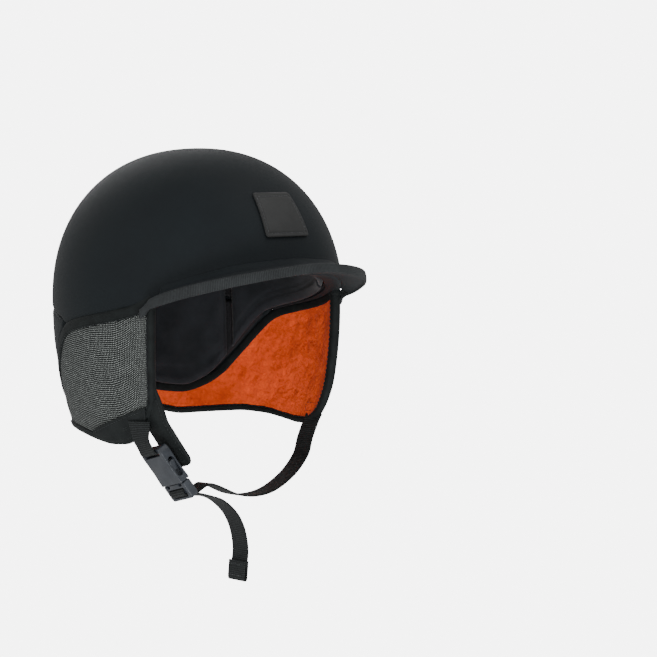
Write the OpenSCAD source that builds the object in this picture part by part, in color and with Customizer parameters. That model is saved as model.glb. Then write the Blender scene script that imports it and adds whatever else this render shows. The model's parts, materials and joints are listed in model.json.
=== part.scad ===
// Soft helmet for water sports: a fabric-covered foam shell with a small brim, two ear flaps,
// a nape skirt with a hook-and-loop adjuster, and a chin strap with a side-release buckle.
// Millimetres, +Z up. The wearer faces -Y, the wearer's right is -X. The origin is in the
// middle of the head cavity, on the shell's widest level.

/* [Shell] */
// Width over the cover
shell_w = 216; // [208:1:224]
// Length over the cover, front to back
shell_l = 256; // [248:1:264]
// Height of the crown over the widest level
crown_h = 122.5; // [118:0.5:127]
// Squareness of the dome, where 2 is an ellipse
dome_power = 2.2; // [2.1:0.05:2.3]
// Share of the width lost 100 mm below the widest level
taper = 0.12; // [0.1:0.01:0.14]
// Thickness of the stretch cover
cover_t = 1.6; // [1.2:0.1:1.8]
// Thickness of the impact foam
foam_t = 12; // [10:0.5:12]
// Thickness of the comfort pads
pad_t = 4.5; // [3:0.5:6]

/* [Brim] */
// How far the brim stands out at the front
brim_out = 28; // [22:1:30]
// Height of the brim's edge tape
brim_tape_h = 9; // [8:0.5:10]

/* [Ear flaps and skirt] */
// Turn from the front at which an ear flap's front edge starts, in degrees
flap_front = 57; // [56:0.5:58]
// How much further back that edge ends at the bottom, in degrees
flap_slant = 2.5; // [0:0.5:6]
// Turn from the front at which an ear flap's moving part ends, in degrees
flap_rear = 101; // [99:0.5:102]
// Width of the binding tape
tape_w = 7; // [6:0.5:8]
// Thickness of the outer mesh
mesh_t = 2; // [1.5:0.1:2.1]
// Thickness of the fleece lining
fleece_t = 3.5; // [3:0.5:4]

/* [Adjuster] */
// Height of the hook-and-loop tab
tab_h = 25; // [23:1:26]
// Thickness of the tab
tab_t = 2; // [1.5:0.1:2.2]

/* [Chin strap] */
// Width of the webbing
web_w = 20; // [18:0.5:20]
// Thickness of the webbing
web_t = 1.5; // [1.2:0.1:1.5]
// Width of the buckle
buckle_w = 29; // [28.5:0.5:30]
// Length of the buckle's socket
socket_l = 31; // [31:0.5:32]
// Thickness of the socket
socket_t = 8.6; // [8.4:0.1:9]

/* [Hidden] */
$fn = 48;

gap = 0.3;                        // between layers that are sewn or glued together
foam_out = -cover_t - gap;        // offsets from the outer surface, inwards negative
foam_in = foam_out - foam_t;
pad_gap = 1.4;                    // between the foam and the pads
pad_out = foam_in - pad_gap;
pad_in = pad_out - pad_t;
mesh_out = -0.5;
mesh_in = mesh_out - mesh_t;
fleece_out = mesh_in - gap;
fleece_in = fleece_out - fleece_t;
tape_out = 0.9;                   // tapes stand a little proud of the mesh
tape_in = fleece_in - 0.7;
hem_h = 5;
front_tape_turn = 4.6;            // the front tape's width, as a turn

// Heights along the shell, against the turn away from the front in degrees.
EDGE = [[0, 22], [25, 19], [50, 8], [60, 4], [75, -2], [95, -8], [104, -12], [112, -24],
        [122, -45], [132, -64], [145, -74], [160, -71], [180, -58]];
GROOVE = [[100, -10], [125, 0], [150, 6], [180, 9]];
SKIRT = [[57, -70], [60, -84], [65, -96], [73, -103], [84, -104], [95, -101], [105, -98],
         [118, -96], [133, -97], [150, -98], [165, -92], [180, -85]];
BRIM = [[0, 27], [15, 24], [30, 19], [45, 12], [55, 6], [62, 1]];
GROOVE_START = 104;               // turn at which the groove leaves the shell's edge

// ---- the shell's surface ----

function fold(turn) = let (t = (turn % 360 + 360) % 360) t <= 180 ? t : 360 - t;
function eased(table, turn) =     // a table's height with its corners rounded off
    let (t = fold(turn))
    (lookup(abs(t - 4), table) + 2 * lookup(t, table) + lookup(min(180, t + 4), table)) / 4;
function edge(turn) = eased(EDGE, turn);
function groove(turn) = lookup(fold(turn), GROOVE);
function skirt(turn) = eased(SKIRT, turn);
function ring(z, off) = z >= 0
    ? pow(max(0, 1 - pow(z / (crown_h + off), dome_power)), 1 / dome_power)
    : 1 - taper * pow(z / 100, 2);
// The point of the surface, moved outwards by off, at a turn and a height.
function on_shell(turn, z, off) = [-(shell_w / 2 + off) * ring(z, off) * sin(turn),
                                   -(shell_l / 2 + off) * ring(z, off) * cos(turn), z];
// Height that a tape of width w takes up where the line it follows slopes.
function upright(w, line, turn) = w * norm([1, (line(turn + 1) - line(turn - 1)) / 2 / 2.1]);
function below_tape(turn) = edge(turn) - 1 - upright(tape_w, function (t) edge(t), turn);
function above_hem(turn) = skirt(turn) + upright(hem_h, function (t) skirt(t), turn) + gap;
function steps(a, b, n) = [for (i = [0 : n]) a + (b - a) * i / n];
function mix(a, b, s) = a + (b - a) * s;

// A closed solid between two grids of points, each a list of columns. Looking at the front
// grid, columns run to the left and rows upwards.
module slab(front, back) {
    m = len(front) - 1;
    n = len(front[0]) - 1;
    size = (m + 1) * (n + 1);
    function a(i, j) = i * (n + 1) + j;
    function b(i, j) = size + a(i, j);
    polyhedron(
        points = concat([for (column = front) each column], [for (column = back) each column]),
        faces = concat(
            [for (i = [0 : m - 1], j = [0 : n - 1]) each [
                [a(i, j), a(i + 1, j), a(i + 1, j + 1)], [a(i, j), a(i + 1, j + 1), a(i, j + 1)],
                [b(i, j), b(i + 1, j + 1), b(i + 1, j)], [b(i, j), b(i, j + 1), b(i + 1, j + 1)]]],
            [for (i = [0 : m - 1]) each [
                [a(i + 1, 0), a(i, 0), b(i, 0)], [a(i + 1, 0), b(i, 0), b(i + 1, 0)],
                [a(i, n), a(i + 1, n), b(i + 1, n)], [a(i, n), b(i + 1, n), b(i, n)]]],
            [for (j = [0 : n - 1]) each [
                [a(0, j), a(0, j + 1), b(0, j + 1)], [a(0, j), b(0, j + 1), b(0, j)],
                [a(m, j + 1), a(m, j), b(m, j)], [a(m, j + 1), b(m, j), b(m, j + 1)]]]),
        convexity = 8);
}

// An ear flap's front edge slants back: the turn of its points, moved back below the fold.
function share(x) = max(0, min(1, x));
function leaned(turn, z) = turn + (turn > 180 ? -1 : 1) * flap_slant * share(-(z + 5) / 75)
    * share((flap_rear - fold(turn)) / (flap_rear - flap_front));

// A layer of the shell between two offsets, over a list of turns and between two height lines.
module layer(turns, low, high, out, in, rows = 4, slanted = false) {
    function point(t, z, off) = on_shell(slanted ? leaned(t, z) : t, z, off);
    function column(t, off) = [for (s = steps(0, 1, rows)) point(t, mix(low(t), high(t), s), off)];
    slab([for (t = turns) column(t, out)], [for (t = turns) column(t, in)]);
}

// A closed layer over the top of the dome, above a height line.
module cap(low, out, in, columns = 48, rows = 9) {
    function climb(i) = pow(sin(90 * i / rows), 2 / dome_power);
    function level(t, i, off) = mix(low(t), crown_h + off, climb(i));
    function grid(off) = [for (c = [0 : columns - 1], i = [0 : rows - 1])
        on_shell(c * 360 / columns, level(c * 360 / columns, i, off), off)];
    side = columns * rows;
    function a(c, i) = (c % columns) * rows + i;
    function b(c, i) = side + 2 + a(c, i) - 1;
    outer_top = side;
    inner_top = 2 * side + 1;
    polyhedron(
        points = concat(grid(out), [[0, 0, crown_h + out]], grid(in), [[0, 0, crown_h + in]]),
        faces = concat(
            [for (c = [0 : columns - 1], i = [0 : rows - 2]) each [
                [a(c, i), a(c + 1, i), a(c + 1, i + 1)], [a(c, i), a(c + 1, i + 1), a(c, i + 1)],
                [b(c, i), b(c + 1, i + 1), b(c + 1, i)], [b(c, i), b(c, i + 1), b(c + 1, i + 1)]]],
            [for (c = [0 : columns - 1]) each [
                [a(c, rows - 1), a(c + 1, rows - 1), outer_top],
                [b(c + 1, rows - 1), b(c, rows - 1), inner_top],
                [a(c + 1, 0), a(c, 0), b(c, 0)], [a(c + 1, 0), b(c, 0), b(c + 1, 0)]]]),
        convexity = 8);
}

// ---- shell ----

function dome_low(t) = fold(t) < GROOVE_START ? edge(t) : groove(t);
module crown_cover() color([0.10, 0.12, 0.15]) cap(function (t) dome_low(t), 0, -cover_t);
module crown_foam() color([0.35, 0.36, 0.38])
    cap(function (t) dome_low(t), foam_out, foam_in);

// The rear lobe has an arched opening at its lower edge, over the adjuster.
arch_r = 16;
arch_z = -50;
arch_turn = asin(arch_r / (shell_l / 2 * ring(arch_z, 0)));
function lobe_low(t) = let (x = abs(shell_l / 2 * ring(arch_z, 0) * sin(180 - t)))
    cos(t) < 0 && x < arch_r - 0.01 ? arch_z + sqrt(arch_r * arch_r - x * x) : edge(t);
lobe_turns = concat(steps(106, 180 - arch_turn - 0.2, 14),
                    [for (s = steps(-1, 1, 12)) 180 + arch_turn * 0.998 * sin(90 * s)],
                    steps(180 + arch_turn + 0.2, 254, 14));
module rear_cover() color([0.10, 0.12, 0.15])
    layer(lobe_turns, function (t) lobe_low(t), function (t) groove(t) - 1.5, 0, -cover_t, 3);
module rear_foam() color([0.35, 0.36, 0.38])
    layer(lobe_turns, function (t) lobe_low(t) + 0.5, function (t) groove(t) - 1, foam_out, foam_in, 3);

pad_top = 60;
module pad(turns) color([0.08, 0.08, 0.09])
    layer(turns, function (t) lobe_low(t) + 2, function (t) pad_top, pad_out, pad_in, 5);
module crown_pad() color([0.08, 0.08, 0.09])
    cap(function (t) pad_top + 3, pad_out, pad_in, 32, 5);
module front_pad() pad(steps(-47, 47, 14));
module right_pad() pad(steps(50, 121, 14));
module left_pad() pad(steps(239, 310, 14));
module rear_pad() pad(concat(steps(124, 180 - arch_turn - 0.2, 9),
                             [for (s = steps(-1, 1, 8)) 180 + arch_turn * 0.998 * sin(90 * s)],
                             steps(180 + arch_turn + 0.2, 236, 9)));

// ---- brim and front patch ----

brim_turn = 54;
function brim_reach(t) = brim_out * pow(max(0, cos(1.5 * t)), 0.65);
function brim_z(t) = eased(BRIM, t);
module brim_core() {
    turns = steps(-brim_turn, brim_turn, 24);
    function root_off(s, t) = mix(0.4, brim_reach(t) - 1.8, s);
    function top_z(s, t) = mix(edge(t) + 8, brim_z(t) + 3.4, s);
    function under_z(s, t) = mix(edge(t) + 1, brim_z(t) - 3.4, s);
    // The upper side is the front grid: its rows run from the rim back to the root.
    color([0.09, 0.10, 0.12])
    slab([for (t = turns) [for (s = steps(1, 0, 4)) on_shell(t, top_z(s, t), root_off(s, t))]],
         [for (t = turns) [for (s = steps(1, 0, 4)) on_shell(t, under_z(s, t), root_off(s, t))]]);
}
module brim_tape() {
    turns = steps(-62, 62, 30);
    function tape_off(t) = max(1.2, brim_reach(t) - 1.5);
    function column(t, more) = [for (s = steps(-0.5, 0.5, 3))
        on_shell(t, brim_z(t) + s * brim_tape_h, tape_off(t) + more * (1.3 - 1.6 * s * s))];
    color([0.13, 0.14, 0.16])
    slab([for (t = turns) column(t, 2)], [for (t = turns) column(t, 0)]);
}
module front_patch() color([0.16, 0.17, 0.18])
    layer(steps(-11.5, 11.5, 6), function (t) 50, function (t) 84, 2, 0.3, 4);

// ---- skirt at the nape ----

module shell_edge_tape() color([0.05, 0.06, 0.06])
    layer(steps(flap_front, 360 - flap_front, 74), function (t) below_tape(t),
          function (t) edge(t) - 1, tape_out, tape_in, 1);
function skirt_top(t) = below_tape(t) - gap;
module nape_part(turns, out, in)
    layer(turns, function (t) above_hem(t), function (t) skirt_top(t), out, in, 3);
nape_start = flap_rear + 3;
module right_nape_mesh() color([0.35, 0.37, 0.37])
    nape_part(steps(nape_start, 149, 12), mesh_out, mesh_in);
module left_nape_mesh() color([0.35, 0.37, 0.37])
    nape_part(steps(211, 360 - nape_start, 12), mesh_out, mesh_in);
module nape_panel() color([0.07, 0.08, 0.08])
    nape_part(steps(149.4, 210.6, 16), mesh_out, mesh_in);
module nape_lining() color([0.85, 0.30, 0.08])
    nape_part(steps(nape_start, 360 - nape_start, 40), fleece_out, fleece_in);
module nape_hem() color([0.05, 0.06, 0.06])
    layer(steps(nape_start, 360 - nape_start, 44), function (t) skirt(t),
          function (t) above_hem(t) - gap, tape_out, tape_in, 1);

// ---- adjuster ----

tab_off = 2.8;
function tab_low(t) = skirt(t) + 0.5;
function rounded(t, a, b, h) =   // how much of a strip's height is left near its end b
    let (s = share((t - a) / (b - a))) h * sqrt(1 - 0.92 * s * s);
module loop_base() color([0.05, 0.05, 0.06])
    layer(steps(196, 219, 8), function (t) tab_low(t) + 1, function (t) tab_low(t) + tab_h - 1,
          tape_out + 0.9, tape_out + 0.2, 2);
module hook_pad() color([0.12, 0.12, 0.13])
    layer(steps(199.5, 208, 4), function (t) tab_low(t) + 4, function (t) tab_low(t) + tab_h - 4,
          tab_off - 0.15, tape_out + 1.2, 2);
module tab_strip(turns, round_a, round_b)
    layer(turns, function (t) tab_low(t) + tab_h / 2 - rounded(t, round_a, round_b, tab_h / 2),
          function (t) tab_low(t) + tab_h / 2 + rounded(t, round_a, round_b, tab_h / 2),
          tab_off + tab_t, tab_off, 4);
module adjuster_strap() color([0.22, 0.24, 0.25]) tab_strip(steps(156, 197, 18), 300, 301);
module adjuster_tab() color([0.22, 0.24, 0.25]) tab_strip(steps(198, 213.5, 10), 206.5, 213.5);

// ---- ear flaps: side 1 is the wearer's right, side -1 the left ----

function flap_top(t) = below_tape(t) - 1.4;
function flap_turns(a, b, n, side) = side > 0 ? steps(a, b, n) : steps(360 - b, 360 - a, n);
module flap_part(side, out, in)
    layer(flap_turns(flap_front + front_tape_turn + 0.2, flap_rear, 12, side),
          function (t) above_hem(t), function (t) flap_top(t), out, in, 6, true);
module flap_mesh(side) color([0.35, 0.37, 0.37]) flap_part(side, mesh_out, mesh_in);
module flap_lining(side) color([0.85, 0.30, 0.08]) flap_part(side, fleece_out, fleece_in);
module flap_tape(side) color([0.05, 0.06, 0.06]) {
    layer(flap_turns(flap_front, flap_front + front_tape_turn, 2, side), function (t) above_hem(t),
          function (t) flap_top(t), tape_out, tape_in, 6, true);
    layer(flap_turns(flap_front, flap_rear, 18, side), function (t) skirt(t),
          function (t) above_hem(t) - gap, tape_out, tape_in, 1, true);
}
module right_flap_mesh() flap_mesh(1);
module left_flap_mesh() flap_mesh(-1);
module right_flap_lining() flap_lining(1);
module left_flap_lining() flap_lining(-1);
module right_flap_tape() flap_tape(1);
module left_flap_tape() flap_tape(-1);
module right_anchor_patch() color([0.06, 0.07, 0.07])
    layer(steps(62, 94, 12), function (t) skirt(t) + 1,
          function (t) skirt(t) + mix(27, 7, (t - 62) / 32), tape_out + 1.5, tape_out + 0.3, 3, true);

// ---- chin strap ----

// The buckle lies under the right cheek. Its own axes: x from the socket to the plug, y along
// its width towards the front, z out of its outer face. Its origin is the socket's mouth.
buckle_at = [-71.3, -62.5, -130.9];
buckle_turn = [156, 58, -25];
module at_buckle() translate(buckle_at) rotate(buckle_turn) children();
function rot_x(a, p) = [p.x, p.y * cos(a) - p.z * sin(a), p.y * sin(a) + p.z * cos(a)];
function rot_y(a, p) = [p.x * cos(a) + p.z * sin(a), p.y, -p.x * sin(a) + p.z * cos(a)];
function rot_z(a, p) = [p.x * cos(a) - p.y * sin(a), p.x * sin(a) + p.y * cos(a), p.z];
function turned(p) = rot_z(buckle_turn.z, rot_y(buckle_turn.y, rot_x(buckle_turn.x, p)));
function from_buckle(p) = buckle_at + turned(p);

// A smooth line through points, with n steps between each two.
function bend(p, n) = let (m = len(p) - 1)
    [for (i = [0 : m - 1], k = [0 : n - 1]) let (
        s = k / n, a = p[max(0, i - 1)], b = p[i], c = p[i + 1], d = p[min(m, i + 2)])
        (2 * b + (c - a) * s + (2 * a - 5 * b + 4 * c - d) * s * s
         + (3 * b - a - 3 * c + d) * s * s * s) / 2,
     p[m]];
function unit(v) = v / norm(v);
// Flat webbing along a line: across is its width direction, one for each point of the line.
module web(line, across, w = web_w, t = web_t) {
    m = len(line) - 1;
    function along(i) = unit(line[min(m, i + 1)] - line[max(0, i - 1)]);
    function face(i) = unit(cross(across[i], along(i)));
    function column(i, k) = [for (j = [-0.5, 0.5]) line[i] + across[i] * j * w + face(i) * k * t / 2];
    slab([for (i = [0 : m]) column(i, 1)], [for (i = [0 : m]) column(i, -1)]);
}
front_way = [0, -1, 0];
buckle_way = turned([0, 1, 0]);
function way(s) = unit(mix(buckle_way, front_way, min(1, s)));
function ways(line, fade) = [for (i = [0 : len(line) - 1]) way(fade * i / (len(line) - 1))];

// The right strap is sewn to the flap's lower front corner and runs to the socket's bar.
bar_x = -socket_l + 1.4;
right_hinge = [-92.8, -50.6, -98];
flap_way = [0.32, -0.95, 0];      // along the flap's surface where the strap is sewn on
module right_strap_root() color([0.05, 0.06, 0.06]) {
    line = [right_hinge + [-0.4, 1.5, 14], right_hinge + [-0.2, 0.7, 7], right_hinge + [0, 0, 0.6]];
    web(line, [unit(flap_way), unit(mix(flap_way, buckle_way, 0.4)), buckle_way]);
}
module right_webbing() color([0.05, 0.06, 0.06]) {
    over = socket_t / 2 + 1.4;
    line = bend([right_hinge - [0, 0, 0.6], from_buckle([bar_x - 5, 0, over - 0.5]),
                 from_buckle([bar_x, 0, over]), from_buckle([bar_x + 2, 0, over - 0.9]),
                 from_buckle([bar_x + 2.7, 0, 2.8]), from_buckle([bar_x + 2.7, 0, -1.5])], 3);
    web(line, [for (p = line) buckle_way]);
}

module round_plate(x0, x1, w, t, r)
    translate([x0, 0, -t / 2]) linear_extrude(t) union() {
        translate([r, -w / 2]) square([x1 - x0 - 2 * r, w]);
        translate([0, -w / 2 + r]) square([x1 - x0, w - 2 * r]);
        for (x = [r, x1 - x0 - r], y = [-1, 1]) translate([x, y * (w / 2 - r)]) circle(r);
    }
module block(x0, x1, w, t) translate([x0, -w / 2, -t / 2]) cube([x1 - x0, w, t]);

cavity_w = buckle_w - 5.8;
cavity_t = 5.8;
window_r = 2.7;
module buckle_socket() color([0.16, 0.18, 0.21]) at_buckle() difference() {
    round_plate(-socket_l, 0, buckle_w, socket_t, 3.5);
    block(-22, 1, cavity_w, cavity_t);
    block(bar_x + 1.1, bar_x + 4.3, web_w + 1.4, socket_t + 2);
    hull() for (x = [-18.4, -7]) translate([x, 0, 0]) rotate([90, 0, 0])
        cylinder(r = window_r, h = buckle_w + 2, center = true);
}

// The plug: ladder-lock base, middle tongue, and two prongs that squeeze in as it draws out.
base_t = 7.2;
base_end = 14.5;
prong_x = 1.2;
prong_y = 8.6;
prong_r = 1.65;
module buckle_plug() color([0.14, 0.16, 0.19]) at_buckle() difference() {
    union() {
        round_plate(0.4, base_end, buckle_w, base_t, 3);
        block(-18, 1, 4.4, 4.4);
    }
    block(4.4, 7.2, web_w + 1.4, base_t + 2);
    block(9.4, 12.2, web_w + 1.4, base_t + 2);
    for (side = [-1, 1]) {
        translate([prong_x, side * prong_y, 0])
            cylinder(r = prong_r + 0.08, h = base_t + 2, center = true);
        translate([-1, side * prong_y - 2.4, -base_t]) cube([1 + prong_x, 4.8, 2 * base_t]);
    }
}
prong_t = 5;
module prong() color([0.14, 0.16, 0.19]) translate([0, 0, -prong_t / 2])
    linear_extrude(prong_t) union() {
        translate([prong_x, prong_y]) circle(prong_r);
        polygon([[1.2, 9.6], [-1, 9.8], [-7, 11], [-11, 11.8], [-15, 12.9], [-17.4, 13.7],
                 [-18.4, 13.2], [-18.4, 12], [-15, 10.3], [-11, 9.2], [-7, 8.5],
                 [-1, 7.7], [1.2, 7.6]]);
    }
module front_prong() at_buckle() prong();
module rear_prong() at_buckle() mirror([0, 1, 0]) prong();

// Webbing held in the ladder lock: up through one slot, over the bar and down the other.
module lock_webbing() color([0.05, 0.06, 0.06]) {
    line = [for (p = [[5.8, -3], [5.8, 2.6], [6.6, 4.3], [8.3, 4.9], [10, 4.3], [10.8, 2.6], [10.8, -3]])
            from_buckle([p.x, 0, p.y])];
    web(line, [for (p = line) buckle_way]);
}

// The left strap starts behind the plug's base, sags across and rises to the left flap.
left_hinge = [81.2, -30, -105];
module left_strap_root() color([0.05, 0.06, 0.06]) {
    line = [left_hinge + [2.4, 1, 21], left_hinge + [1, 0.5, 10], left_hinge + [0, 0, 0.6]];
    web(line, [for (p = line) front_way]);
}
module left_webbing() color([0.05, 0.06, 0.06]) {
    line = bend([from_buckle([14.9, 0, -6.4]), [-53, -65, -137], [-45, -62, -135], [-34, -57.5, -138],
                 [-11, -51, -147.5], [11, -46, -151.5], [33, -42, -149.5], [57, -37, -140],
                 [74, -33, -127], [81, -31, -114], left_hinge - [0, 0, 0.6]], 2);
    web(line, ways(line, 4));
}
module upper_tail() color([0.05, 0.06, 0.06]) {
    line = bend([from_buckle([14.9, 0, -4.6]), [-53, -65, -142.5], [-44, -63, -144.5], [-35, -62, -148],
                 [-27, -62, -154], [-20, -62, -162], [-15.5, -62, -171.4]], 2);
    web(line, ways(line, 3));
}
tail_hinge = [-15.2, -62, -172];
module strap_tail() color([0.05, 0.06, 0.06]) {
    line = bend([tail_hinge - [0, 0, 0.6], [-13, -62, -182], [-12.5, -62, -190], [-13.5, -62, -197]], 2);
    web(line, [for (p = line) front_way]);
}
module tail_fold() color([0.06, 0.07, 0.07])
    translate([-14.6, -62, -197.4]) rotate([0, 8, 0]) translate([0, 0, -7.5])
    rotate([90, 0, 0]) linear_extrude(web_w + 1, center = true) union() {
        translate([-2.2, -6.5]) square([4.4, 13.6]);
        translate([0, -6.5]) circle(2.2);
    }

// The chin tab is a soft tongue behind the buckle, sewn to the right flap's corner.
module chin_tab() color([0.04, 0.05, 0.05]) at_buckle()
    translate([0, 0, -12.6]) linear_extrude(3) polygon(concat(
        [[-54, 6], [-48, 21.5]],
        [for (a = [80 : -16 : 0]) [-13.5, 11.8] + 7.5 * [cos(a), sin(a)]],
        [for (a = [0 : -16 : -80]) [-13.5, -3] + 7.5 * [cos(a), sin(a)]],
        [[-36, -10.5], [-50, -6]]));

crown_cover();
rear_cover();
crown_foam();
rear_foam();
crown_pad();
front_pad();
right_pad();
left_pad();
rear_pad();
brim_core();
brim_tape();
front_patch();
shell_edge_tape();
right_nape_mesh();
left_nape_mesh();
nape_panel();
nape_lining();
nape_hem();
loop_base();
adjuster_strap();
adjuster_tab();
hook_pad();
right_flap_mesh();
right_flap_lining();
right_flap_tape();
right_anchor_patch();
chin_tab();
right_strap_root();
left_flap_mesh();
left_flap_lining();
left_flap_tape();
left_strap_root();
right_webbing();
buckle_socket();
buckle_plug();
lock_webbing();
front_prong();
rear_prong();
left_webbing();
upper_tail();
strap_tail();
tail_fold();
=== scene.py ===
"""Looks of a soft helmet for water sports, built round its CAD frame.

Lengths in this file are millimetres unless a name or comment says otherwise; meshes are made in
metres. The wearer faces -Y, the wearer's right is -X, and +Z is up. A place on the shell is a turn
in degrees from the front towards the wearer's right, a height, and an offset outwards.
"""
import json
import math

import bmesh
import bpy
import numpy as np
from mathutils import Matrix, Vector, noise

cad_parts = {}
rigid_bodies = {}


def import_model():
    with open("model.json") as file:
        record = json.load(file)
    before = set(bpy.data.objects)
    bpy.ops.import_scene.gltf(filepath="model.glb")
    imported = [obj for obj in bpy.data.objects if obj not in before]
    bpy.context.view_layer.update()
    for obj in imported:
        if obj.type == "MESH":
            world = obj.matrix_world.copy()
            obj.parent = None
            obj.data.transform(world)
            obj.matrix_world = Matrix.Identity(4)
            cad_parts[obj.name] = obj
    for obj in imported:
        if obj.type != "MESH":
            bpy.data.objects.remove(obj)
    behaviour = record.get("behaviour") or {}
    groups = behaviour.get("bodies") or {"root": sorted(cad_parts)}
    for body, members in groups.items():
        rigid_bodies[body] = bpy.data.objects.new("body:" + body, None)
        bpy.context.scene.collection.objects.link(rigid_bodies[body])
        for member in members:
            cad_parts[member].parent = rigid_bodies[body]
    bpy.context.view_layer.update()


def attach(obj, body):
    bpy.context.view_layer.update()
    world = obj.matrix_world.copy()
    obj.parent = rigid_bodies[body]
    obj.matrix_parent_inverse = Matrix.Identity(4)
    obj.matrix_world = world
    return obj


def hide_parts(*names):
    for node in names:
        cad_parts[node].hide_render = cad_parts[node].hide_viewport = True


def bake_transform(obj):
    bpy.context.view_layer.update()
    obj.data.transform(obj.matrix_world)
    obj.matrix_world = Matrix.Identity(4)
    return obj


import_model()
MM = 0.001

# ---------------------------------------------------------------- the shell's surface

SHELL_W, SHELL_L, CROWN_H = 216.0, 256.0, 122.5
DOME_POWER, TAPER = 2.2, 0.12
MM_PER_DEGREE = 2.08              # arc length of one degree of turn, on average
COVER_T = 1.6
FOAM_OUT, FOAM_IN = -1.9, -13.9
PAD_OUT, PAD_IN = -15.3, -19.8
MESH_OUT, MESH_IN = -0.5, -2.5
FLEECE_OUT, FLEECE_IN = -2.8, -6.3
TAPE_OUT, TAPE_IN = 0.9, -7.0
TAPE_W = 7.0
HEM_H = 5.6
FLAP_FRONT, FLAP_REAR, FLAP_SLANT = 57.0, 101.0, 2.5
BRIM_OUT = 28.0
BRIM_TURN = 54.0
TAPE_TURN = 62.0
ARCH_R, ARCH_Z = 16.0, -50.0

EDGE = [[0, 22], [25, 19], [50, 8], [60, 4], [75, -2], [95, -8], [104, -12], [112, -24],
        [122, -45], [132, -64], [145, -74], [160, -71], [180, -58]]
GROOVE = [[100, -10], [125, 0], [150, 6], [180, 9]]
SKIRT = [[57, -70], [60, -84], [65, -96], [73, -103], [84, -104], [95, -101], [105, -98],
         [118, -96], [133, -97], [150, -98], [165, -92], [180, -85]]
BRIM = [[0, 27], [15, 24], [30, 19], [45, 12], [55, 6], [62, 1]]


def fold(turn):
    t = np.mod(np.asarray(turn, float), 360.0)
    return np.where(t <= 180.0, t, 360.0 - t)


def height_line(table, ease):
    """The heights in a table against the turn, rounded off over ease degrees each way."""
    xs, ys = np.array(table, float).T
    nudges = np.linspace(-1.0, 1.0, 11)
    share = 1.0 - 0.9 * nudges ** 2
    share /= share.sum()

    def height(turn):
        t = np.abs(fold(turn)[..., None] + nudges * ease)
        t = np.where(t > 180.0, 360.0 - t, t)
        return (np.interp(t, xs, ys) * share).sum(-1)

    return height


edge = height_line(EDGE, 6.0)
groove = height_line(GROOVE, 8.0)
skirt = height_line(SKIRT, 4.0)
brim_z = height_line(BRIM, 6.0)


def ring(z, off):
    up = 1.0 - (np.maximum(z, 0.0) / (CROWN_H + off)) ** DOME_POWER
    dome = np.maximum(up, 0.0) ** (1.0 / DOME_POWER)
    return np.where(z >= 0.0, dome, 1.0 - TAPER * (z / 100.0) ** 2)


def on_shell(turn, z, off):
    """Points of the shell's surface moved outwards by off; all three may be arrays."""
    turn, z, off = np.broadcast_arrays(np.asarray(turn, float), z, off)
    r, a = ring(z, off), np.radians(turn)
    return np.stack([-(SHELL_W / 2 + off) * r * np.sin(a),
                     -(SHELL_L / 2 + off) * r * np.cos(a), z + 0.0 * a], -1)


def leaned(turn, z):
    """Turns of an ear flap's points: its front edge slants back below the fold line."""
    down = np.clip(-(z + 5.0) / 75.0, 0.0, 1.0)
    ahead = np.clip((FLAP_REAR - fold(turn)) / (FLAP_REAR - FLAP_FRONT), 0.0, 1.0)
    return turn + np.where(np.asarray(turn) > 180.0, -1.0, 1.0) * FLAP_SLANT * down * ahead


def smoothstep(a, b, x):
    t = np.clip((x - a) / (b - a), 0.0, 1.0)
    return t * t * (3.0 - 2.0 * t)


def rounded(d, r):
    """Share of the full thickness at a distance d from an edge rounded over r."""
    return np.sqrt(np.clip(1.0 - (1.0 - np.minimum(d / r, 1.0)) ** 2, 0.0, 1.0))


def toward_ends(n, lean=0.6):
    """n + 1 values from 0 to 1 that lie closer together near both ends."""
    x = np.linspace(0.0, 1.0, n + 1)
    return (1.0 - lean) * x + lean * (1.0 - np.cos(math.pi * x)) / 2.0


def rough(points, size, seed=0.0):
    """Smooth noise from -1 to 1 at points in mm, with features of about size mm."""
    flat = np.asarray(points, float).reshape(-1, 3) / size
    values = [noise.noise(Vector((p[0] + seed, p[1], p[2]))) for p in flat]
    return np.array(values).reshape(np.asarray(points).shape[:-1])


# ---------------------------------------------------------------- materials


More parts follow.
